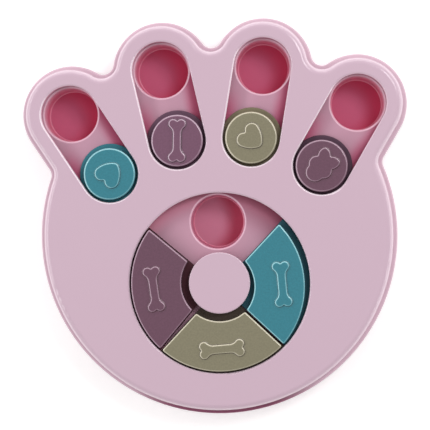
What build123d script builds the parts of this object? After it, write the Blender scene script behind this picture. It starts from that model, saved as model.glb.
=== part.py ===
"""Paw-shaped puzzle feeder for dogs.

A moulded base tray with eight treat cups is closed by a moulded cover. Four round
sliders run in slots in the toes, and three quarter-ring wedges run round a hub in
the palm. Their flanges are held between the deck of the tray and the cover.
Millimetres, +Z up, +Y towards the toes, origin at the middle of the footprint.
"""

import os
from math import acos, asin, atan2, cos, degrees, hypot, pi, radians, sin, sqrt, tan

from build123d import *

# ---- Outline, seen from above (x and y from the middle of the wheel) ----
palm_radius = 114.5
palm_rise = 30.0
toe_radius = 32.0
inner_well_x = 32.4
inner_well_y = 136.2
outer_well_x = 91.5
outer_well_y = 110.7
inner_toe_lean = 11.2
outer_toe_lean = 31.8
valley_radius = 6.5
neck_radius = 5.5

# ---- Heights ----
skirt_foot_z = 1.2
deck_z = 22.0
lid_lap = 3.0
track_height = 8.0
knob_rise = 1.0

# ---- Moulded walls ----
tray_wall = 2.4
deck_thickness = 2.4
skirt_draft = 1.5
ledge_edge_fillet = 1.0
cover_inset = 3.6
cover_wall = 2.4
cover_plate = 2.6
cover_edge_radius = 4.0
lid_fit = 0.3

# ---- Treat cups ----
cup_mouth_radius = 17.1
cup_draft = 1.5
cup_wall = 2.0
cup_base_z = 1.6
cup_floor_thickness = 2.8
cup_floor_fillet = 1.0
cup_lip_fillet = 1.1

# ---- Toe slots and their sliders ----
slot_travel = 46.0
slot_radius = 18.1
slot_edge_fillet = 1.2
guide_wall = 1.8
slider_slack = 1.6
flange_overlap = 1.5
flange_thickness = 2.5
flange_play = 0.65
running_gap = 0.15
flange_edge_fillet = 0.6
knob_draft = 1.0
knob_edge_fillet = 1.0
block_wall = 1.8

# ---- Wheel of wedges round the hub ----
wheel_opening_radius = 57.25
wheel_cup_radius = 38.8
wheel_cup_count = 4
wedge_angle = 90.0
wedge_slack = 1.2
wheel_flange_overlap = 2.75
hub_gap = 4.8
wedge_side_gap = 2.3
wedge_flange_side_gap = 1.85
wedge_corner_fillet = 1.0
wedge_edge_fillet = 0.8
right_wedge_slip = 3.0
right_wedge_bearing = 225.0

# ---- Hub ----
hub_tube_radius = 14.8
hub_tube_wall = 2.0
hub_cap_radius = 19.4
hub_cap_edge_fillet = 0.8
hub_fit = 3.3

# ---- Icons raised on the blocks ----
icon_height = 1.0
icon_edge_fillet = 0.7
icon_notch_fillet = 0.7
heart_lobe_radius = 4.5
heart_lobe_spread = 4.0
heart_lobe_drop = 2.7
heart_flank_start = 15.0
heart_tip_rise = 11.2
heart_tip_radius = 3.0
knob_bone_length = 27.2
knob_bone_shaft = 5.2
knob_bone_lobe_radius = 3.0
wedge_bone_length = 28.6
wedge_bone_shaft = 5.6
wedge_bone_lobe_radius = 3.0
bone_lobe_spread = 0.85
bone_waist_fillet = 5.0
bone_radial_place = 41.7
bone_lean = 3.0
turnip_drop = 1.3
turnip_half_width = 8.2
turnip_half_height = 6.2
turnip_root_radius = 5.9
turnip_root_drop = 4.6
leaf_root_rise = 2.6
leaf_length = 10.8
leaf_half_width = 4.0
leaf_lean = 37.0
turnip_fillet = 0.8

# ---- Screws and their posts ----
screw_shaft_radius = 1.5
screw_head_radius = 2.8
screw_head_height = 2.2
screw_head_fillet = 0.7
screw_bite = 4.6
screw_tip_length = 1.2
thread_fit = 0.05
shaft_fit = 0.25
head_fit = 0.6
post_wall = 1.6
post_depth = 8.0
screw_seat_drop = 6.0
boss_radius = 4.0
palm_screw_inset = 14.5
palm_screw_count = 5
toe_web_screw_drop = 7.2
side_web_screw_drop = 6.2
middle_screw_gap = 13.75

# ---- Ribs under the deck ----
rib_thickness = 1.6
rib_height = 5.0
rib_spoke_count = 8
rib_spoke_start = 22.5
rib_spoke_reach = 70.0

# ---- Rubber feet ----
foot_radius = 10.0
foot_recess = 0.6
foot_edge_fillet = 0.5
foot_fit = 0.2

# ---- Sizes that follow from those above ----
wheel_y = -(inner_well_y + toe_radius + palm_rise - palm_radius) / 2
palm_centre = (0.0, palm_rise + wheel_y)
ledge_z = deck_z - lid_lap
cover_top_z = deck_z + track_height
knob_top_z = cover_top_z + knob_rise
cover_underside_z = cover_top_z - cover_plate
flange_foot_z = deck_z + running_gap
flange_top_z = flange_foot_z + flange_thickness
guide_foot_z = flange_top_z + flange_play
knob_radius = slot_radius - slider_slack
slider_flange_radius = slot_radius + flange_overlap
wedge_body_outer_radius = wheel_opening_radius - wedge_slack
wedge_body_inner_radius = hub_cap_radius + hub_gap
wedge_flange_outer_radius = wheel_opening_radius + wheel_flange_overlap
wedge_flange_inner_radius = hub_tube_radius + hub_fit
cup_floor_z = cup_base_z + cup_floor_thickness
cup_foot_radius = cup_mouth_radius - (deck_z - cup_floor_z) * tan(radians(cup_draft))
post_radius = screw_head_radius + head_fit + post_wall
screw_seat_z = deck_z - screw_seat_drop
post_foot_z = screw_seat_z - post_depth
rib_foot_z = deck_z - deck_thickness - rib_height
foot_top_z = cup_base_z + foot_recess
skirt_taper = (ledge_z - skirt_foot_z) * tan(radians(skirt_draft))
deck_grow = -(cover_inset + cover_wall + lid_fit)

height_slack = 0.01


def toe_place(side, x, y, lean):
    """Where a toe's cup is: local +Y runs out along the slot."""
    return Location((side * x, y + wheel_y, 0), (0, 0, -side * lean))


toes = {
    "outer_left": toe_place(-1, outer_well_x, outer_well_y, outer_toe_lean),
    "inner_left": toe_place(-1, inner_well_x, inner_well_y, inner_toe_lean),
    "inner_right": toe_place(1, inner_well_x, inner_well_y, inner_toe_lean),
    "outer_right": toe_place(1, outer_well_x, outer_well_y, outer_toe_lean),
}
slot_middles = [place * Location((0, -slot_travel / 2, 0)) for place in toes.values()]
wheel_place = Location((0, wheel_y, 0))
wheel_cups = [
    wheel_place * Location((wheel_cup_radius * cos(turn), wheel_cup_radius * sin(turn), 0))
    for turn in (2 * pi * step / wheel_cup_count for step in range(wheel_cup_count))
]
cups = [*toes.values(), *wheel_cups]

palm_screw_radius = palm_radius - palm_screw_inset
palm_screws = [
    Location((palm_screw_radius * cos(turn), palm_centre[1] - palm_screw_radius * sin(turn), 0))
    for turn in (pi * step / (palm_screw_count - 1) for step in range(palm_screw_count))
]
side_web_screw_x = (inner_well_x + outer_well_x) / 2
side_web_screw_y = (inner_well_y + outer_well_y) / 2 - side_web_screw_drop + wheel_y
cover_screw_places = [
    Location((0, inner_well_y - toe_web_screw_drop + wheel_y, 0)),
    Location((-side_web_screw_x, side_web_screw_y, 0)),
    Location((side_web_screw_x, side_web_screw_y, 0)),
    Location((0, wheel_opening_radius + middle_screw_gap + wheel_y, 0)),
    *palm_screws,
]
screw_places = [*cover_screw_places, wheel_place]


# ---- Profiles that several pieces share ----
def meeting_point(first, second, distance):
    """The point this far from both centres, on the side away from the palm."""
    half_x = (second[0] - first[0]) / 2
    half_y = (second[1] - first[1]) / 2
    half_gap = hypot(half_x, half_y)
    rise = sqrt(distance**2 - half_gap**2)
    return (
        first[0] + half_x - half_y / half_gap * rise,
        first[1] + half_y + half_x / half_gap * rise,
    )


def bearing(start, end):
    """Angle in degrees of the line from start to end."""
    return degrees(atan2(end[1] - start[1], end[0] - start[0]))


def draw_paw(grow):
    """The paw as a face of the current sketch, grown outwards by this much."""
    inner_toe = (inner_well_x, inner_well_y + wheel_y)
    outer_toe = (outer_well_x, outer_well_y + wheel_y)
    mirrored_toe = (-inner_toe[0], inner_toe[1])
    lean = radians(outer_toe_lean)
    middle_valley = meeting_point(mirrored_toe, inner_toe, toe_radius + valley_radius)
    side_valley = meeting_point(inner_toe, outer_toe, toe_radius + valley_radius)

    # The neck arc touches the straight outer side of the toe and the palm circle.
    neck_start_x = outer_toe[0] + (toe_radius + neck_radius) * cos(lean)
    neck_start_y = outer_toe[1] - (toe_radius + neck_radius) * sin(lean)
    along = -(neck_start_x - palm_centre[0]) * sin(lean)
    along -= (neck_start_y - palm_centre[1]) * cos(lean)
    apart = hypot(neck_start_x - palm_centre[0], neck_start_y - palm_centre[1])
    side_length = -along - sqrt(along**2 - apart**2 + (palm_radius + neck_radius) ** 2)
    neck = (neck_start_x - side_length * sin(lean), neck_start_y - side_length * cos(lean))

    toe = toe_radius + grow
    valley = valley_radius - grow
    side_top = (outer_toe[0] + toe * cos(lean), outer_toe[1] - toe * sin(lean))
    with BuildLine() as outline:
        turn = bearing(middle_valley, inner_toe) + 90
        CenterArc(middle_valley, valley, -90, turn)
        turn = bearing(inner_toe, middle_valley) - bearing(inner_toe, side_valley)
        CenterArc(inner_toe, toe, bearing(inner_toe, side_valley), turn)
        start = bearing(side_valley, inner_toe) % 360
        turn = bearing(side_valley, outer_toe) % 360 - start
        CenterArc(side_valley, valley, start, turn)
        turn = bearing(outer_toe, side_valley) + outer_toe_lean
        CenterArc(outer_toe, toe, -outer_toe_lean, turn)
        Line(
            side_top,
            (side_top[0] - side_length * sin(lean), side_top[1] - side_length * cos(lean)),
        )
        start = 180 - outer_toe_lean
        turn = bearing(neck, palm_centre) % 360 - start
        CenterArc(neck, neck_radius - grow, start, turn)
        turn = bearing(palm_centre, neck) + 90
        CenterArc(palm_centre, palm_radius + grow, -90, turn)
        mirror(about=Plane.YZ)
    make_face(outline.edges())


def draw_sector(inner_radius, outer_radius, side_gap):
    """A wedge's plan about the hub, with sides set back from its quarter's edges."""
    half_angle = wedge_angle / 2
    inner_half = half_angle - degrees(asin(side_gap / inner_radius))
    outer_half = half_angle - degrees(asin(side_gap / outer_radius))
    with BuildLine() as outline:
        outside = CenterArc((0, 0), outer_radius, -outer_half, 2 * outer_half)
        inside = CenterArc((0, 0), inner_radius, -inner_half, 2 * inner_half)
        Line(outside @ 0, inside @ 0)
        Line(outside @ 1, inside @ 1)
    make_face(outline.edges())


def draw_heart():
    """A heart about its middle, tip towards +Y."""
    lobe_y = -heart_lobe_drop
    notch = (0, lobe_y - sqrt(heart_lobe_radius**2 - heart_lobe_spread**2))
    lobe_centre = (heart_lobe_spread, lobe_y)
    start = bearing(lobe_centre, notch)
    with BuildLine() as outline:
        lobe = CenterArc(lobe_centre, heart_lobe_radius, start, heart_flank_start - start)
        TangentArc(lobe @ 1, (0, lobe_y + heart_tip_rise), tangent=lobe % 1)
        mirror(about=Plane.YZ)
    make_face(outline.edges())
    fillet(vertices().sort_by(Axis.Y)[-1], heart_tip_radius)
    fillet(vertices().sort_by(Axis.Y)[0], icon_notch_fillet)


def draw_bone(length, shaft, lobe):
    """A bone about its middle, lying along Y, with two lobes at each end."""
    lobe_x = bone_lobe_spread * lobe
    lobe_y = length / 2 - lobe
    Rectangle(shaft, 2 * lobe_y)
    with Locations((-lobe_x, -lobe_y), (lobe_x, -lobe_y), (-lobe_x, lobe_y), (lobe_x, lobe_y)):
        Circle(lobe)
    fillet(vertices().filter_by(lambda corner: abs(corner.Y) < lobe_y), bone_waist_fillet)
    fillet(vertices().filter_by(lambda corner: corner.X**2 < icon_notch_fillet**2), icon_notch_fillet)


def draw_turnip():
    """A turnip about its middle, with two pointed leaves towards +Y."""
    with Locations((0, -turnip_drop)):
        Ellipse(turnip_half_width, turnip_half_height)
    with Locations((0, -turnip_drop - turnip_root_drop)):
        Circle(turnip_root_radius)
    root = Vector(0, leaf_root_rise - turnip_drop)
    for side in (-1, 1):
        lean = radians(side * leaf_lean)
        along = Vector(sin(lean), cos(lean))
        across = Vector(cos(lean), -sin(lean))
        middle = root + along * (leaf_length / 2)
        tip = root + along * leaf_length
        with BuildLine() as leaf:
            ThreePointArc(root, middle + across * leaf_half_width, tip)
            ThreePointArc(root, middle - across * leaf_half_width, tip)
        make_face(leaf.edges())
    fillet(vertices(), turnip_fillet)


os.makedirs("parts", exist_ok=True)


def save(name, label):
    """Labels a finished piece and writes it under its own name."""
    name.part.label = label
    export_step(name.part, f"parts/{label}.step")


# ---- Base tray: stepped shell, deck, cups and screw posts in one moulding ----
with BuildPart() as base_tray:
    with BuildSketch(Plane.XY.offset(skirt_foot_z)):
        draw_paw(0)
    with BuildSketch(Plane.XY.offset(ledge_z)):
        draw_paw(-skirt_taper)
    loft(ruled=True)
    fillet(faces().sort_by(Axis.Z)[-1].edges(), ledge_edge_fillet)
    with BuildSketch(Plane.XY.offset(ledge_z)):
        draw_paw(deck_grow)
    extrude(amount=deck_z - ledge_z)
    with BuildSketch(Plane.XY.offset(skirt_foot_z)):
        draw_paw(-tray_wall)
    with BuildSketch(Plane.XY.offset(ledge_z - deck_thickness)):
        draw_paw(-skirt_taper - tray_wall)
    loft(ruled=True, mode=Mode.SUBTRACT)
    with BuildSketch(Plane.XY.offset(ledge_z - deck_thickness)):
        draw_paw(deck_grow - tray_wall)
    extrude(amount=deck_z - ledge_z, mode=Mode.SUBTRACT)

    # The cups, their walls first and then their hollows.
    with BuildSketch(Plane.XY.offset(cup_base_z)):
        with Locations(*cups):
            Circle(cup_foot_radius + cup_wall)
    extrude(amount=deck_z - deck_thickness - cup_base_z, taper=-cup_draft)
    with BuildSketch(Plane.XY.offset(cup_base_z)):
        with Locations(*cups):
            Circle(foot_radius + foot_fit)
    extrude(amount=foot_recess, mode=Mode.SUBTRACT)

    # Ribs under the deck: a ring through the wheel's cups, spokes from the hub's post
    # to the skirt, and one from each toe's cup towards the palm.
    with BuildSketch(Plane.XY.offset(rib_foot_z)):
        with Locations(wheel_place):
            Circle(wheel_cup_radius + rib_thickness / 2)
            Circle(wheel_cup_radius - rib_thickness / 2, mode=Mode.SUBTRACT)
            with PolarLocations(0, rib_spoke_count, start_angle=rib_spoke_start):
                with Locations((rib_spoke_reach / 2, 0)):
                    Rectangle(rib_spoke_reach, rib_thickness)
        with Locations(*slot_middles):
            Rectangle(rib_thickness, slot_travel)
    extrude(amount=deck_z - deck_thickness - rib_foot_z)

    # A post under the deck hides each screw's head and gives it a seat.
    with BuildSketch(Plane.XY.offset(post_foot_z)):
        with Locations(*screw_places):
            Circle(post_radius)
    extrude(amount=deck_z - deck_thickness - post_foot_z)
    with BuildSketch(Plane.XY.offset(post_foot_z)):
        with Locations(*screw_places):
            Circle(screw_head_radius + head_fit)
    extrude(amount=screw_seat_z - post_foot_z, mode=Mode.SUBTRACT)
    with BuildSketch(Plane.XY.offset(screw_seat_z)):
        with Locations(*screw_places):
            Circle(screw_shaft_radius + shaft_fit)
    extrude(amount=deck_z - screw_seat_z, mode=Mode.SUBTRACT)

    with BuildSketch(Plane.XY.offset(cup_floor_z)):
        with Locations(*cups):
            Circle(cup_foot_radius)
    extrude(amount=deck_z - cup_floor_z, taper=-cup_draft, mode=Mode.SUBTRACT)
    floor_edges = edges().filter_by(GeomType.CIRCLE)
    floor_edges = floor_edges.filter_by_position(
        Axis.Z, cup_floor_z - height_slack, cup_floor_z + height_slack
    )
    fillet(floor_edges, cup_floor_fillet)

    # The lip of each cup is rounded, so that the flanges glide over it.
    rims = edges().filter_by(GeomType.CIRCLE).filter_by(lambda rim: rim.is_closed)
    mouths = rims.filter_by_position(Axis.Z, deck_z - height_slack, deck_z + height_slack)
    mouths = mouths.filter_by(lambda rim: rim.radius > cup_foot_radius)
    fillet(mouths, cup_lip_fillet)

    # The tube that the wedges run round, and that the hub cap stands on.
    with BuildSketch(Plane.XY.offset(deck_z)):
        with Locations(wheel_place):
            Circle(hub_tube_radius)
            Circle(hub_tube_radius - hub_tube_wall, mode=Mode.SUBTRACT)
    extrude(amount=cover_underside_z - deck_z)
save(base_tray, "base_tray")

# ---- Cover: a moulded lid with four slots and the wheel's opening ----
with BuildPart() as top_cover:
    with BuildSketch(Plane.XY.offset(ledge_z)):
        draw_paw(-cover_inset)
    extrude(amount=cover_top_z - ledge_z)
    fillet(faces().sort_by(Axis.Z)[-1].edges(), cover_edge_radius)
    with BuildSketch(Plane.XY.offset(ledge_z)):
        draw_paw(-cover_inset - cover_wall)
    extrude(amount=cover_underside_z - ledge_z, mode=Mode.SUBTRACT)

    # Guide walls hang round the slots and the opening to hold the flanges down.
    with BuildSketch(Plane.XY.offset(guide_foot_z)):
        with Locations(*slot_middles):
            SlotCenterToCenter(slot_travel, 2 * (slot_radius + guide_wall), rotation=90)
        with Locations(wheel_place):
            Circle(wheel_opening_radius + guide_wall)
    extrude(amount=cover_underside_z - guide_foot_z)
    with BuildSketch(Plane.XY.offset(guide_foot_z)):
        with Locations(*slot_middles):
            SlotCenterToCenter(slot_travel, 2 * slot_radius, rotation=90)
        with Locations(wheel_place):
            Circle(wheel_opening_radius)
    extrude(amount=cover_top_z - guide_foot_z, mode=Mode.SUBTRACT)
    fillet(faces().sort_by(Axis.Z)[-1].inner_wires().edges(), slot_edge_fillet)

    # Bosses stand on the deck and take the screws.
    with BuildSketch(Plane.XY.offset(deck_z)):
        with Locations(*cover_screw_places):
            Circle(boss_radius)
    extrude(amount=cover_underside_z - deck_z)
    with BuildSketch(Plane.XY.offset(deck_z)):
        with Locations(*cover_screw_places):
            Circle(screw_shaft_radius + thread_fit)
    extrude(amount=screw_bite + screw_tip_length, mode=Mode.SUBTRACT)
save(top_cover, "top_cover")

# ---- Hub cap: holds the wedges' inner flanges down ----
with BuildPart() as hub_cap:
    with BuildSketch(Plane.XY.offset(guide_foot_z)):
        with Locations(wheel_place):
            Circle(hub_cap_radius)
    extrude(amount=cover_top_z - guide_foot_z)
    fillet(faces().sort_by(Axis.Z)[-1].edges(), hub_cap_edge_fillet)
    with BuildSketch(Plane.XY.offset(guide_foot_z)):
        with Locations(wheel_place):
            Circle(hub_cap_radius - guide_wall)
    extrude(amount=cover_underside_z - guide_foot_z, mode=Mode.SUBTRACT)
    with BuildSketch(Plane.XY.offset(deck_z)):
        with Locations(wheel_place):
            Circle(boss_radius)
    extrude(amount=cover_underside_z - deck_z)
    with BuildSketch(Plane.XY.offset(deck_z)):
        with Locations(wheel_place):
            Circle(screw_shaft_radius + thread_fit)
    extrude(amount=screw_bite + screw_tip_length, mode=Mode.SUBTRACT)
save(hub_cap, "hub_cap")

# ---- Toe sliders: a hollow knob on a round flange, with an icon on top ----
icons = {
    "outer_left": ("heart", -40.0),
    "inner_left": ("bone", -3.0),
    "inner_right": ("heart", -132.0),
    "outer_right": ("turnip", -47.0),
}


def draw_icon(kind):
    """The named icon as a face of the current sketch."""
    if kind == "heart":
        draw_heart()
    elif kind == "bone":
        draw_bone(knob_bone_length, knob_bone_shaft, knob_bone_lobe_radius)
    else:
        draw_turnip()


def make_slider(toe):
    """The slider that rests at the inner end of this toe's slot."""
    kind, turn = icons[toe]
    rest = (toes[toe] * Location((0, -slot_travel, 0))).position
    with BuildPart() as slider:
        with BuildSketch(Plane((rest.X, rest.Y, flange_foot_z))):
            Circle(slider_flange_radius)
        extrude(amount=flange_thickness)
        fillet(edges().group_by(Axis.Z)[-1], flange_edge_fillet)
        with BuildSketch(Plane((rest.X, rest.Y, flange_top_z))):
            Circle(knob_radius)
        extrude(amount=knob_top_z - flange_top_z, taper=knob_draft)
        fillet(edges().group_by(Axis.Z)[-1], knob_edge_fillet)
        with BuildSketch(Plane((rest.X, rest.Y, flange_foot_z))):
            Circle(knob_radius - block_wall)
        extrude(amount=knob_top_z - block_wall - flange_foot_z, taper=knob_draft, mode=Mode.SUBTRACT)
        aim = radians(turn)
        with BuildSketch(Plane((rest.X, rest.Y, knob_top_z), x_dir=(cos(aim), sin(aim), 0))):
            draw_icon(kind)
        extrude(amount=icon_height)
        fillet(edges().group_by(Axis.Z)[-1], icon_edge_fillet)
    return slider


for toe in toes:
    save(make_slider(toe), f"slider_{toe}")

# ---- Wedges: hollow quarter-ring blocks, each with a bone along its arc ----
wedges = {"left": (183.3, 0.0), "bottom": (270.1, 0.0), "right": (360.1, right_wedge_slip)}


def make_wedge(facing, slip):
    """The wedge that faces this way in degrees and has slipped in its slack."""
    aim = radians(facing)
    slide = radians(right_wedge_bearing)

    def level(height):
        middle = (slip * cos(slide), wheel_y + slip * sin(slide), height)
        return Plane(middle, x_dir=(cos(aim), sin(aim), 0))

    with BuildPart() as wedge:
        with BuildSketch(level(flange_foot_z)):
            draw_sector(
                wedge_flange_inner_radius, wedge_flange_outer_radius, wedge_flange_side_gap
            )
        extrude(amount=flange_thickness)
        with BuildSketch(level(flange_top_z)):
            draw_sector(wedge_body_inner_radius, wedge_body_outer_radius, wedge_side_gap)
            fillet(vertices(), wedge_corner_fillet)
        extrude(amount=knob_top_z - flange_top_z)
        fillet(edges().group_by(Axis.Z)[-1], wedge_edge_fillet)
        with BuildSketch(level(flange_foot_z)):
            draw_sector(
                wedge_body_inner_radius + block_wall,
                wedge_body_outer_radius - block_wall,
                wedge_side_gap + block_wall,
            )
        extrude(amount=knob_top_z - block_wall - flange_foot_z, mode=Mode.SUBTRACT)
        with BuildSketch(level(knob_top_z)):
            with Locations(Location((bone_radial_place, 0, 0), (0, 0, bone_lean))):
                add(wedge_bone)
        extrude(amount=icon_height)
        fillet(edges().group_by(Axis.Z)[-1], icon_edge_fillet)
    return wedge


with BuildSketch() as wedge_bone_sketch:
    draw_bone(wedge_bone_length, wedge_bone_shaft, wedge_bone_lobe_radius)
wedge_bone = wedge_bone_sketch.sketch

for side, (facing, slip) in wedges.items():
    save(make_wedge(facing, slip), f"wedge_{side}")


# ---- Self-tapping screws, driven from below ----
def make_screws(places):
    """A pan-head screw under each of these places."""
    tip_z = deck_z + screw_bite
    with BuildPart() as screws:
        with BuildSketch(Plane.XY.offset(screw_seat_z - screw_head_height)):
            with Locations(*places):
                Circle(screw_head_radius)
        extrude(amount=screw_head_height)
        fillet(edges().group_by(Axis.Z)[0], screw_head_fillet)
        with BuildSketch(Plane.XY.offset(screw_seat_z)):
            with Locations(*places):
                Circle(screw_shaft_radius)
        extrude(amount=tip_z - screw_seat_z)
        chamfer(edges().group_by(Axis.Z)[-1], screw_tip_length, screw_shaft_radius * 0.7)
    return screws


save(make_screws(cover_screw_places), "cover_screws")
save(make_screws([wheel_place]), "hub_screw")


# ---- Rubber feet, glued into the recess under each cup ----
def make_foot(place):
    """The foot under the cup at this place."""
    with BuildPart() as foot:
        with BuildSketch():
            with Locations(place):
                Circle(foot_radius)
        extrude(amount=foot_top_z)
        fillet(edges().group_by(Axis.Z)[0], foot_edge_fillet)
    return foot


wheel_foot_names = ("wheel_right", "wheel_top", "wheel_left", "wheel_bottom")
for toe, place in toes.items():
    save(make_foot(place), f"foot_{toe}")
for side, place in zip(wheel_foot_names, wheel_cups):
    save(make_foot(place), f"foot_{side}")
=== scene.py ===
"""The looks of the paw-shaped puzzle feeder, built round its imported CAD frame.

The camera, the lamps and the floor are in metres, and the patterns in millimetres.
"""

from math import cos, radians, sin
from types import SimpleNamespace

import bmesh
import bpy
from mathutils import Matrix, Vector

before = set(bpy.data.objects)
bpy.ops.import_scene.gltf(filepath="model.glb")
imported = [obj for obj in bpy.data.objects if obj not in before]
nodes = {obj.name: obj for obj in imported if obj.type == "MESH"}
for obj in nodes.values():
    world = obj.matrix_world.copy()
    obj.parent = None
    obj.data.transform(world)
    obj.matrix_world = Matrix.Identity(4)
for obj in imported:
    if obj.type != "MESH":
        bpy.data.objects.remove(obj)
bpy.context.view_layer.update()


# ---- Camera ----
# A long lens looks almost straight down on the play face, a little from the right,
# and rolled so that the paw leans slightly to the left.
PLAY_FACE_Z = 0.030
AIM_AT = Vector((-0.0012, 0.0013, PLAY_FACE_Z))
CAMERA_DISTANCE = 0.95
CAMERA_SIDE_TILT = radians(2.9)
CAMERA_ROLL = radians(2.15)
SENSOR_WIDTH_MM = 36.0
IMAGE_WIDTH_PX = 430
PX_WIDTH_AT_PLAY_FACE = 0.0006327

camera_data = bpy.data.cameras.new("camera")
camera_data.sensor_width = SENSOR_WIDTH_MM
view_width = IMAGE_WIDTH_PX * PX_WIDTH_AT_PLAY_FACE
camera_data.lens = SENSOR_WIDTH_MM * CAMERA_DISTANCE / view_width
camera = bpy.data.objects.new("camera", camera_data)
bpy.context.scene.collection.objects.link(camera)
towards = Vector((sin(CAMERA_SIDE_TILT), 0, cos(CAMERA_SIDE_TILT)))
camera_up = Vector((sin(CAMERA_ROLL), cos(CAMERA_ROLL), 0))
camera_x = camera_up.cross(towards).normalized()
camera_y = towards.cross(camera_x)
camera.matrix_world = Matrix.Translation(AIM_AT + towards * CAMERA_DISTANCE) @ Matrix(
    (camera_x, camera_y, towards)
).transposed().to_4x4()
bpy.context.scene.camera = camera
bpy.context.scene.view_settings.view_transform = "Standard"


# ---- Floor and studio light ----
# The toy lies on a flat sheet of matt white paper. A softbox stands high behind it on
# the right, and long strips stand low at its left, right and back. The room is dimmer
# on the heel's side.
FLOOR_HALF_WIDTH = 1.5
FLOOR_GLOW = 0.27
ROOM_LIGHT = 0.665
ROOM_LIGHT_AT_HEEL = 0.45
# How far a direction points away from the heel: -1 straight at it, 0 straight up.
DIM_UP_TO = -0.9
BRIGHT_FROM = -0.2


def linear(hex_colour):
    """An sRGB hex colour as linear RGBA."""
    channels = [int(hex_colour[i : i + 2], 16) / 255 for i in (1, 3, 5)]
    return (*((c / 12.92 if c <= 0.04045 else ((c + 0.055) / 1.055) ** 2.4) for c in channels), 1)


def add_node(tree, kind, settings=None, links=None):
    """A node of this kind, with its settings and its links.

    A setting is the node's own property of that name, or else the value of that socket.
    """
    node = tree.nodes.new(kind)
    for name, value in (settings or {}).items():
        if hasattr(node, str(name)):
            setattr(node, name, value)
        else:
            node.inputs[name].default_value = value
    for name, source in (links or {}).items():
        tree.links.new(source, node.inputs[name])
    return node


def new_material(name):
    """An empty node material, its tree and its output."""
    material = bpy.data.materials.new(name)
    material.use_nodes = True
    tree = material.node_tree
    tree.nodes.clear()
    return material, tree, add_node(tree, "ShaderNodeOutputMaterial")


def softbox(name, place, width, height, watts):
    """A rectangular lamp at this place, aimed at the toy."""
    lamp = bpy.data.lights.new(name, "AREA")
    lamp.shape = "RECTANGLE"
    lamp.size = width
    lamp.size_y = height
    lamp.energy = watts
    box = bpy.data.objects.new(name, lamp)
    bpy.context.scene.collection.objects.link(box)
    aim = Vector(place) - AIM_AT
    box.matrix_world = Matrix.Translation(place) @ aim.to_track_quat("Z", "Y").to_matrix().to_4x4()


floor_bm = bmesh.new()
bmesh.ops.create_grid(floor_bm, x_segments=1, y_segments=1, size=FLOOR_HALF_WIDTH)
floor_mesh = bpy.data.meshes.new("floor")
floor_bm.to_mesh(floor_mesh)
floor_bm.free()
floor = bpy.data.objects.new("floor", floor_mesh)
bpy.context.scene.collection.objects.link(floor)

# Matt white paper, which the camera and glossy plastic see as white.
white_paper, tree, output = new_material("matt white paper")
ray = add_node(tree, "ShaderNodeLightPath")
seen = add_node(
    tree,
    "ShaderNodeMath",
    {"operation": "MAXIMUM"},
    {0: ray.outputs["Is Camera Ray"], 1: ray.outputs["Is Glossy Ray"]},
)
glow = add_node(
    tree, "ShaderNodeMath", {"operation": "MULTIPLY", 1: FLOOR_GLOW}, {0: seen.outputs[0]}
)
lift = add_node(tree, "ShaderNodeEmission", {"Color": (1, 1, 1, 1)}, {"Strength": glow.outputs[0]})
paper = add_node(tree, "ShaderNodeBsdfDiffuse", {"Color": linear("#F4F3F2")})
both = add_node(tree, "ShaderNodeAddShader", {}, {0: paper.outputs[0], 1: lift.outputs[0]})
tree.links.new(both.outputs[0], output.inputs["Surface"])
floor_mesh.materials.append(white_paper)

world = bpy.data.worlds.new("studio")
bpy.context.scene.world = world
world.use_nodes = True
tree = world.node_tree
tree.nodes.clear()
direction = add_node(tree, "ShaderNodeTexCoord")
away_from_heel = add_node(tree, "ShaderNodeSeparateXYZ", {}, {0: direction.outputs["Generated"]})
brightness = add_node(
    tree,
    "ShaderNodeMapRange",
    {
        "interpolation_type": "SMOOTHSTEP",
        "From Min": DIM_UP_TO,
        "From Max": BRIGHT_FROM,
        "To Min": ROOM_LIGHT_AT_HEEL,
        "To Max": ROOM_LIGHT,
    },
    {"Value": away_from_heel.outputs["Y"]},
)
room = add_node(
    tree, "ShaderNodeBackground", {"Color": (1, 1, 1, 1)}, {"Strength": brightness.outputs[0]}
)
add_node(tree, "ShaderNodeOutputWorld", {}, {"Surface": room.outputs[0]})

softbox("key_softbox", place=(0.68, 0.55, 1.20), width=0.40, height=0.40, watts=5.2)
softbox("left_strip", place=(-1.10, 0.10, 0.75), width=1.3, height=0.20, watts=6.0)
softbox("right_strip", place=(1.30, -0.10, 0.50), width=1.3, height=0.12, watts=3.2)
softbox("back_strip", place=(0.05, 1.30, 0.55), width=1.5, height=0.12, watts=3.6)


# ---- Base tray ----
# One injection moulding in pink ABS, satin from a lightly spark-eroded tool. The rose in
# the cups and on the deck at the foot of each wall is painted shade, in place of the light
# that bounces from side to side in the pink plastic and comes out rose.
CUP_MOUTH_RADIUS = 17.1
CUP_FOOT_RADIUS = 16.6
CUP_FLOOR_Z = 4.4
LIP_WIDTH = 1.1
DECK_Z = 22.0
LEDGE_Z = 19.0
SLOT_RADIUS = 18.1
SLOT_TRAVEL = 46.0
# The painted rose shade reaches this far under the cover's walls round the slots and
# the wheel.
UNDER_WALL = 1.5
# A toe cup's middle, and the degrees by which its slot leans left of straight up.
TOES = {
    "outer_left": (-91.5, 68.85, 31.8),
    "inner_left": (-32.4, 94.35, 11.2),
    "inner_right": (32.4, 94.35, -11.2),
    "outer_right": (91.5, 68.85, -31.8),
}
TOE_CUPS = [(x, y) for x, y, _ in TOES.values()]
WHEEL_RADIUS = 57.25
WHEEL_Y = -41.85
HUB = (0.0, WHEEL_Y)
WHEEL_CUP_FROM_HUB = 38.8
WHEEL_CUPS = [
    (WHEEL_CUP_FROM_HUB, WHEEL_Y),
    (0.0, WHEEL_Y + WHEEL_CUP_FROM_HUB),
    (-WHEEL_CUP_FROM_HUB, WHEEL_Y),
    (0.0, WHEEL_Y - WHEEL_CUP_FROM_HUB),
]
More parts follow.
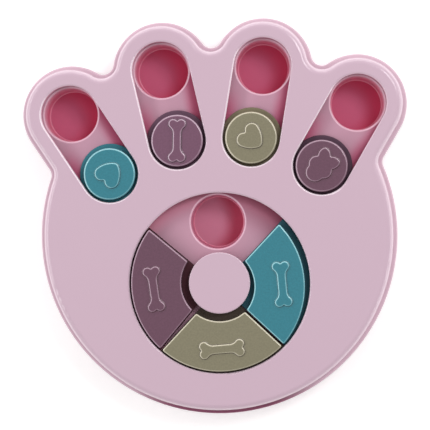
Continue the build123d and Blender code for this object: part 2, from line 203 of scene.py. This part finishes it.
# The lit middle of the painted shade in a hollow lies off the hollow's own middle, because
# the wall on the softbox's side keeps the light from what is next to it.
SHADE_SHIFT = (-8.0, -2.5)
WHEEL_CUP_SHADE_SHIFT = (-14.0, 1.0)
# The colour clouds softly over 30 mm. The tool's grain is drawn at 0.5 mm, coarser than
# it is, because the real one is too fine to show.
CLOUD_SIZE = 30.0
GRAIN_SIZE = 0.5
GRAIN_HEIGHT = 0.06
GRAIN_ROUGHNESS = 0.04
DULL_ROUGHNESS = 0.8
MM_PER_METRE = 1000.0
# Most of a noise lies between these two values.
NOISE_RANGE = {"From Min": 0.3, "From Max": 0.7}


def clouded_material(name, colour, cloud_colour):
    """A material that clouds from one colour to another, its tree, output and colour.

    Last comes where a point lies: its place, plan and height in mm, and how far its face
    looks upward, from 1 on a level face and 0 on a wall to -1 on an underside.
    """
    material, tree, output = new_material(name)
    metres = add_node(tree, "ShaderNodeTexCoord").outputs["Object"]
    place = add_node(
        tree, "ShaderNodeVectorMath", {"operation": "SCALE", "Scale": MM_PER_METRE}, {0: metres}
    ).outputs[0]
    plan = add_node(
        tree, "ShaderNodeVectorMath", {"operation": "MULTIPLY", 1: (1, 1, 0)}, {0: place}
    ).outputs[0]
    height = add_node(tree, "ShaderNodeSeparateXYZ", {}, {0: place}).outputs["Z"]
    normal = add_node(tree, "ShaderNodeNewGeometry").outputs["Normal"]
    upward = add_node(tree, "ShaderNodeSeparateXYZ", {}, {0: normal}).outputs["Z"]
    cloud = add_node(
        tree, "ShaderNodeTexNoise", {"Scale": 1 / CLOUD_SIZE, "Detail": 3.0}, {"Vector": place}
    )
    clouded = add_node(
        tree,
        "ShaderNodeMix",
        {"data_type": "RGBA", 6: linear(colour), 7: linear(cloud_colour)},
        {0: cloud.outputs["Fac"]},
    ).outputs[2]
    at = SimpleNamespace(place=place, plan=plan, height=height, upward=upward)
    return material, tree, output, clouded, at


def tinted(tree, colour, tint, *limits):
    """The colour turned to a tint where all of these limits hold.

    A limit is a measure, the value at which the tint starts and that at which it is full.
    """
    share = None
    for measure, start, full in limits:
        step = add_node(
            tree,
            "ShaderNodeMapRange",
            {"interpolation_type": "SMOOTHSTEP", "From Min": start, "From Max": full},
            {"Value": measure},
        )
        if share:
            tree.links.new(share, step.inputs["To Max"])
        share = step.outputs[0]
    return add_node(
        tree, "ShaderNodeMix", {"data_type": "RGBA", 7: linear(tint)}, {0: share, 6: colour}
    ).outputs[2]


def nearest_axis(tree, plan, axes, shift=(0.0, 0.0)):
    """How far a point is from the nearest of these upright axes, each shifted by this much."""
    nearest = None
    for x, y in axes:
        away = add_node(
            tree,
            "ShaderNodeVectorMath",
            {"operation": "DISTANCE", 1: (x + shift[0], y + shift[1], 0)},
            {0: plan},
        ).outputs["Value"]
        if nearest:
            away = add_node(
                tree, "ShaderNodeMath", {"operation": "MINIMUM"}, {0: nearest, 1: away}
            ).outputs[0]
        nearest = away
    return nearest


def slot_measures(tree, plan, toe, shift=(0.0, 0.0)):
    """How far a point is from a slot's middle line, shifted by this much, and along it."""
    x, y, lean = toe
    along_x, along_y = -sin(radians(lean)), cos(radians(lean))
    palm_end = (
        x + shift[0] - along_x * SLOT_TRAVEL, y + shift[1] - along_y * SLOT_TRAVEL, 0
    )
    from_end = add_node(
        tree, "ShaderNodeVectorMath", {"operation": "SUBTRACT", 1: palm_end}, {0: plan}
    ).outputs[0]
    along = add_node(
        tree,
        "ShaderNodeVectorMath",
        {"operation": "DOT_PRODUCT", 1: (along_x, along_y, 0)},
        {0: from_end},
    ).outputs["Value"]
    on_line = add_node(tree, "ShaderNodeClamp", {"Min": 0.0, "Max": SLOT_TRAVEL}, {"Value": along})
    nearest = add_node(
        tree,
        "ShaderNodeVectorMath",
        {"operation": "SCALE", 0: (along_x, along_y, 0)},
        {"Scale": on_line.outputs[0]},
    )
    away = add_node(
        tree,
        "ShaderNodeVectorMath",
        {"operation": "DISTANCE"},
        {0: from_end, 1: nearest.outputs[0]},
    ).outputs["Value"]
    return away, along


def finish_moulding(
    tree, output, place, colour, roughness, grain_size, grain_depth, dull_share=None, face=None
):
    """Gives a moulding its tool's fine grain and its gloss, less of it by a dull share.

    The grain lies on this face direction, where one is given.
    """
    grain = add_node(
        tree, "ShaderNodeTexNoise", {"Scale": 1 / grain_size, "Detail": 2.0}, {"Vector": place}
    )
    tone = add_node(
        tree,
        "ShaderNodeMapRange",
        {**NOISE_RANGE, "To Min": 1 - grain_depth, "To Max": 1 + grain_depth},
        {"Value": grain.outputs["Fac"]},
    )
    shade = add_node(
        tree, "ShaderNodeHueSaturation", {}, {"Color": colour, "Value": tone.outputs[0]}
    )
    gloss = add_node(
        tree,
        "ShaderNodeMapRange",
        {"To Min": roughness - GRAIN_ROUGHNESS, "To Max": roughness + GRAIN_ROUGHNESS},
        {"Value": grain.outputs["Fac"]},
    )
    if dull_share:
        gloss = add_node(
            tree,
            "ShaderNodeMix",
            {"data_type": "FLOAT", 3: DULL_ROUGHNESS},
            {0: dull_share, 2: gloss.outputs[0]},
        )
    bump = add_node(
        tree,
        "ShaderNodeBump",
        {"Strength": 0.15, "Distance": GRAIN_HEIGHT / MM_PER_METRE},
        {"Height": grain.outputs["Fac"]},
    )
    if face:
        tree.links.new(face, bump.inputs["Normal"])
    shader = add_node(
        tree,
        "ShaderNodeBsdfPrincipled",
        {"IOR": 1.53},
        {"Base Color": shade.outputs[0], "Roughness": gloss.outputs[0], "Normal": bump.outputs[0]},
    )
    tree.links.new(shader.outputs[0], output.inputs["Surface"])


def dress(material, *names):
    """Gives every slot of these CAD nodes this material."""
    for name in names:
        for slot in nodes[name].material_slots:
            slot.material = material


# Satin ABS: soft highlights, painted rose shade in the hollows and a painted highlight on
# each lip.
tray_abs, tree, output, colour, at = clouded_material(
    "moulded ABS pink tray", "#BF8FA2", "#BD90A3"
)
southward = add_node(
    tree, "ShaderNodeVectorMath", {"operation": "DOT_PRODUCT", 1: (0, -1, 0)}, {0: at.plan}
).outputs["Value"]

# The floor of each slot has painted rose shade by its wall, most at the palm end, and more
# painted shade on the softbox's side.
on_deck = (at.height, DECK_Z - 2.0, DECK_Z - 1.4)
for toe in TOES.values():
    away, along = slot_measures(tree, at.plan, toe)
    in_slot = (away, SLOT_RADIUS + UNDER_WALL, SLOT_RADIUS + UNDER_WALL - 0.1)
    by_wall = (away, SLOT_RADIUS - 11.0, SLOT_RADIUS + 1.0)
    to_palm_end = (along, 34.0, 12.0)
    colour = tinted(tree, colour, "#C0587C", on_deck, in_slot, by_wall, to_palm_end)
    from_lit_line, _ = slot_measures(tree, at.plan, toe, SHADE_SHIFT)
    in_shade = (from_lit_line, 16.0, 26.0)
    colour = tinted(tree, colour, "#AC4668", on_deck, in_slot, in_shade)

# The floor of the wheel has a painted rose glow by its wall, and painted shade on the
# softbox's side.
from_hub = nearest_axis(tree, at.plan, [HUB])
in_wheel = (from_hub, WHEEL_RADIUS + UNDER_WALL, WHEEL_RADIUS + UNDER_WALL - 0.1)
by_wall = (from_hub, WHEEL_RADIUS - 10.0, WHEEL_RADIUS + 4.0)
colour = tinted(tree, colour, "#FFAAC4", on_deck, in_wheel, by_wall)
in_shade = (nearest_axis(tree, at.plan, [HUB], SHADE_SHIFT), 40.0, 68.0)
colour = tinted(tree, colour, "#86344F", on_deck, in_wheel, in_shade)

# The ledge and all that lies lower are paler than the deck. At the heel, on the side away
# from the softbox, the ledge has painted shade.
from_ledge_down = (at.height, LEDGE_Z + 0.6, LEDGE_Z - 0.1)
colour = tinted(tree, colour, "#DABBC9", from_ledge_down)
on_ledge = [(at.height, LEDGE_Z + 0.6, LEDGE_Z + 0.2), (at.upward, 0.6, 0.9)]
below_heel = (southward, 106.0, 122.0)
colour = tinted(tree, colour, "#8C4C66", *on_ledge, below_heel)

# A cup has a painted highlight on its lip, and walls and floor painted from pale to rose
# as they go down, as painted shade, with more painted shade on the softbox's side.
from_cup = nearest_axis(tree, at.plan, TOE_CUPS + WHEEL_CUPS)
in_cup = (from_cup, CUP_MOUTH_RADIUS + 0.3, CUP_MOUTH_RADIUS - 0.2)
lip_edge = CUP_MOUTH_RADIUS + LIP_WIDTH
on_lip = (from_cup, lip_edge + 0.3, lip_edge - 0.3)
colour = tinted(tree, colour, "#DFB2C3", on_deck, on_lip)
facing_in = (at.upward, -0.01, 0.01)
on_wall = (at.upward, 0.8, 0.5)
colour = tinted(tree, colour, "#E8B2C4", in_cup, facing_in, on_wall)
with_depth = (at.height, DECK_Z, CUP_FLOOR_Z)
colour = tinted(tree, colour, "#DE7896", in_cup, facing_in, on_wall, with_depth)
on_floor = [(at.height, 14.0, 6.0), (at.upward, 0.5, 0.8)]
colour = tinted(tree, colour, "#CD6486", in_cup, *on_floor)
in_shade = (nearest_axis(tree, at.plan, TOE_CUPS, SHADE_SHIFT), 9.0, 22.0)
colour = tinted(tree, colour, "#CC3E64", in_cup, *on_floor, in_shade)

# The wheel's cups have deeper, greyer painted shade, with more of it at the right.
from_wheel_cup = nearest_axis(tree, at.plan, WHEEL_CUPS)
in_wheel_cup = (from_wheel_cup, CUP_MOUTH_RADIUS + 0.3, CUP_MOUTH_RADIUS - 0.2)
colour = tinted(tree, colour, "#D586A1", in_wheel_cup, *on_floor)
colour = tinted(tree, colour, "#C97F98", in_wheel_cup, facing_in, on_wall)
in_shade = (nearest_axis(tree, at.plan, WHEEL_CUPS, WHEEL_CUP_SHADE_SHIFT), 15.0, 26.0)
colour = tinted(tree, colour, "#BC4462", in_wheel_cup, *on_floor, in_shade)

# A painted highlight lies on the round edge of a cup's floor.
at_floor_edge = (from_cup, CUP_FOOT_RADIUS - 1.0, CUP_FOOT_RADIUS - 0.6)
above_floor = (at.height, CUP_FLOOR_Z + 1.6, CUP_FLOOR_Z + 0.8)
off_wall = (at.upward, 0.1, 0.3)
colour = tinted(tree, colour, "#E58AA5", at_floor_edge, above_floor, off_wall)

# Level faces and the skirt at the heel are dull, and the rest is satin.
level_share = add_node(
    tree, "ShaderNodeMapRange", {"From Min": 0.97, "From Max": 1.0}, {"Value": at.upward}
).outputs[0]
heel_share = add_node(
    tree, "ShaderNodeMapRange", {"From Min": 104.0, "From Max": 114.0}, {"Value": southward}
).outputs[0]
dull_share = add_node(
    tree, "ShaderNodeMath", {"operation": "MAXIMUM"}, {0: level_share, 1: heel_share}
).outputs[0]
finish_moulding(
    tree, output, at.place, colour,
    roughness=0.30, grain_size=GRAIN_SIZE, grain_depth=0.02, dull_share=dull_share,
)
dress(tray_abs, "base_tray")


# ---- Rubber feet ----
# Round pads of pale grey silicone rubber, moulded and glued into the recess under each
# cup.

# Silicone rubber: matt, with no clear highlight, and greyer towards the floor.
silicone, tree, output, colour, at = clouded_material(
    "moulded silicone rubber", "#B5AEB0", "#BDB6B8"
)
off_floor = (at.height, 0.0, 2.0)
colour = tinted(tree, colour, "#C9C2C4", off_floor)
finish_moulding(
    tree, output, at.place, colour, roughness=0.6, grain_size=GRAIN_SIZE, grain_depth=0.02
)
dress(silicone, *[name for name in nodes if name.startswith("foot_")])


# ---- Cover and hub cap ----
# Two more mouldings in the same pink ABS from a smoother tool, with full round edges.
# Screws from below hold the cover to the tray and the cap to its hub tube.
COVER_TOP_Z = 30.0
# This is just past the round edge of a slot or of the wheel's opening.
PAST_EDGE = 1.6

# Glossy ABS: clear highlights on its round edges, with a painted highlight laid on them too.
cover_abs, tree, output, colour, at = clouded_material(
    "moulded ABS pink cover", "#C8ABBB", "#C9ADBC"
)
on_round_edge = [
    (at.upward, 1.0, 0.6),
    (at.upward, 0.0, 0.3),
    (at.height, COVER_TOP_Z - 5.0, COVER_TOP_Z - 3.0),
]
colour = tinted(tree, colour, "#E3CAD7", *on_round_edge)

# A painted highlight lies on the edge of a slot on the side that faces the softbox, and
# painted rose shade on the walls of the slots and the wheel as they go down.
normal = add_node(tree, "ShaderNodeNewGeometry").outputs["Normal"]
toward_softbox = add_node(
    tree, "ShaderNodeVectorMath", {"operation": "DOT_PRODUCT", 1: (0.7, 0.7, 0)}, {0: normal}
).outputs["Value"]
on_lit_rim = [(at.upward, 0.999, 0.95), (at.upward, 0.1, 0.4), (toward_softbox, 0.0, 0.15)]
down_wall = (at.height, COVER_TOP_Z - 0.8, DECK_Z + 2.0)
for toe in TOES.values():
    away, _ = slot_measures(tree, at.plan, toe)
    at_slot = (away, SLOT_RADIUS + 2.4, SLOT_RADIUS + PAST_EDGE)
    colour = tinted(tree, colour, "#EFDCE6", at_slot, *on_lit_rim)
    in_slot = (away, SLOT_RADIUS + PAST_EDGE, SLOT_RADIUS + 0.6)
    colour = tinted(tree, colour, "#E48AA8", in_slot, down_wall)
from_hub = nearest_axis(tree, at.plan, [HUB])
in_wheel = (from_hub, WHEEL_RADIUS + PAST_EDGE, WHEEL_RADIUS + 0.6)
colour = tinted(tree, colour, "#E48AA8", in_wheel, down_wall)
# Painted light: the underside is paler, so that more light bounces into the gaps under it.
on_underside = (at.upward, -0.5, -0.8)
colour = tinted(tree, colour, "#F2B4C6", on_underside)
finish_moulding(
    tree, output, at.place, colour, roughness=0.18, grain_size=GRAIN_SIZE, grain_depth=0.01
)
dress(cover_abs, "top_cover", "hub_cap")


# ---- Sliders and wedges ----
# Hollow blocks in teal, plum and sage ABS, grained by the tool, with icons raised on
# them. Their walls and flanges lie deep in the track, where little light comes, and are
# painted darker as shade.
BLOCK_TOP_Z = 31.0
FLANGE_TOP_Z = 24.65
EDGE_RADIUS = 1.1
# Coarser than the cover's grain, and drawn coarser than it is, so that it shows.
BLOCK_GRAIN_SIZE = 1.1
BONE_FROM_HUB = 41.7
# Half the band across a wedge in which its bone lies.
BONE_HALF_BAND = 8.0
# The right wedge has slipped towards the bottom one.
WEDGE_BEARINGS = (183.3, 270.1, 357.0)
KNOB_MIDDLES = [
    (x + SLOT_TRAVEL * sin(radians(lean)), y - SLOT_TRAVEL * cos(radians(lean)))
    for x, y, lean in TOES.values()
]
BONE_MIDDLES = [
    (BONE_FROM_HUB * cos(radians(bearing)), WHEEL_Y + BONE_FROM_HUB * sin(radians(bearing)))
    for bearing in WEDGE_BEARINGS
]


# Grained ABS: a soft speckled sheen on top, a painted highlight along its softened edges,
# most on those that face the back and the left, and painted shade in the corners round
# the icons.
def dress_blocks(names, finish, top, edge_highlight, flange_shade, deep_shade, wall_shade):
    """Gives these blocks grained ABS of these colours.

    The flange shade is painted shade on a slider's flange and the foot of its walls. The
    deep shade is painted shade on a wedge's flange and in the corners round an icon. The
    edge highlight is a painted highlight on the edges, and the wall shade painted shade.
    """
    material, tree, output, colour, at = clouded_material("moulded ABS " + finish, top, top)
    softened = add_node(
        tree, "ShaderNodeBevel", {"samples": 8, "Radius": EDGE_RADIUS / MM_PER_METRE}
    ).outputs[0]
    upward = add_node(tree, "ShaderNodeSeparateXYZ", {}, {0: softened}).outputs["Z"]
    toward_back_left = add_node(
        tree,
        "ShaderNodeVectorMath",
        {"operation": "DOT_PRODUCT", 1: (-0.6, 0.8, 0)},
        {0: softened},
    ).outputs["Value"]

    on_flange = (at.height, BLOCK_TOP_Z - 2.0, FLANGE_TOP_Z + 1.5)
    colour = tinted(tree, colour, flange_shade, on_flange)
    from_hub = nearest_axis(tree, at.plan, [HUB])
    in_wheel = (from_hub, WHEEL_RADIUS + 8.0, WHEEL_RADIUS + 7.0)
    colour = tinted(tree, colour, deep_shade, on_flange, in_wheel)

    on_edge = [
        (upward, 0.998, 0.96),
        (upward, 0.02, 0.3),
        (at.height, BLOCK_TOP_Z - 1.6, BLOCK_TOP_Z - 1.0),
        (toward_back_left, -0.8, 0.1),
    ]
    colour = tinted(tree, colour, edge_highlight, *on_edge)

    in_corner = [(upward, 0.999, 0.93), (at.height, BLOCK_TOP_Z + 0.4, BLOCK_TOP_Z + 0.2)]
    by_knob_icon = (nearest_axis(tree, at.plan, KNOB_MIDDLES), 15.0, 14.6)
    colour = tinted(tree, colour, deep_shade, *in_corner, by_knob_icon)
    by_bone = [
        (nearest_axis(tree, at.plan, BONE_MIDDLES), 16.0, 15.4),
        (from_hub, BONE_FROM_HUB - BONE_HALF_BAND - 0.2, BONE_FROM_HUB - BONE_HALF_BAND + 0.2),
        (from_hub, BONE_FROM_HUB + BONE_HALF_BAND + 0.2, BONE_FROM_HUB + BONE_HALF_BAND - 0.2),
    ]
    colour = tinted(tree, colour, deep_shade, *in_corner, *by_bone)

    on_wall = [(upward, 0.5, 0.1), (at.height, BLOCK_TOP_Z - 0.8, BLOCK_TOP_Z - 1.6)]
    colour = tinted(tree, colour, wall_shade, *on_wall)

    dull_share = add_node(
        tree,
        "ShaderNodeMapRange",
        {"From Min": BLOCK_TOP_Z - 1.4, "From Max": BLOCK_TOP_Z - 2.4},
        {"Value": at.height},
    ).outputs[0]
    finish_moulding(
        tree, output, at.place, colour,
        roughness=0.22, grain_size=BLOCK_GRAIN_SIZE, grain_depth=0.07,
        dull_share=dull_share, face=softened,
    )
    dress(material, *names)


dress_blocks(
    ["slider_outer_left", "wedge_right"],
    "teal", top="#2E7987", edge_highlight="#94CCD4", flange_shade="#2A6F7D", deep_shade="#1D505C", wall_shade="#123C46",
)
dress_blocks(
    ["slider_inner_left"],
    "plum", top="#704A60", edge_highlight="#BEA2B3", flange_shade="#5E3F53", deep_shade="#341A28", wall_shade="#2C1824",
)
dress_blocks(
    ["wedge_left", "slider_outer_right"],
    "dark plum", top="#654254", edge_highlight="#AE90A0", flange_shade="#4C3042", deep_shade="#42101F", wall_shade="#2A121E",
)
dress_blocks(
    ["slider_inner_right", "wedge_bottom"],
    "sage", top="#7F7962", edge_highlight="#D2CAB4", flange_shade="#776D55", deep_shade="#40342A", wall_shade="#2A2318",
)


# ---- Screws ----
# Zinc-plated self-tapping screws, sunk in the posts under the deck.
# The crystals of the plating are drawn much coarser than they are, so that they show.
SPANGLE_SIZE = 1.5

# Bright zinc: a cool grey mirror, clouded by the crystals of the plating.
zinc, tree, output, colour, at = clouded_material("zinc-plated steel", "#B4B6B8", "#C6C4BC")
spangle = add_node(
    tree, "ShaderNodeTexNoise", {"Scale": 1 / SPANGLE_SIZE, "Detail": 3.0}, {"Vector": at.place}
)
brightness = add_node(
    tree,
    "ShaderNodeMapRange",
    {**NOISE_RANGE, "To Min": 0.9, "To Max": 1.05},
    {"Value": spangle.outputs["Fac"]},
)
plated = add_node(
    tree, "ShaderNodeHueSaturation", {}, {"Color": colour, "Value": brightness.outputs[0]}
)
gloss = add_node(
    tree, "ShaderNodeMapRange", {"To Min": 0.22, "To Max": 0.42}, {"Value": spangle.outputs["Fac"]}
)
steel = add_node(
    tree,
    "ShaderNodeBsdfPrincipled",
    {"Metallic": 1.0},
    {"Base Color": plated.outputs[0], "Roughness": gloss.outputs[0]},
)
tree.links.new(steel.outputs[0], output.inputs["Surface"])
dress(zinc, "cover_screws", "hub_screw")
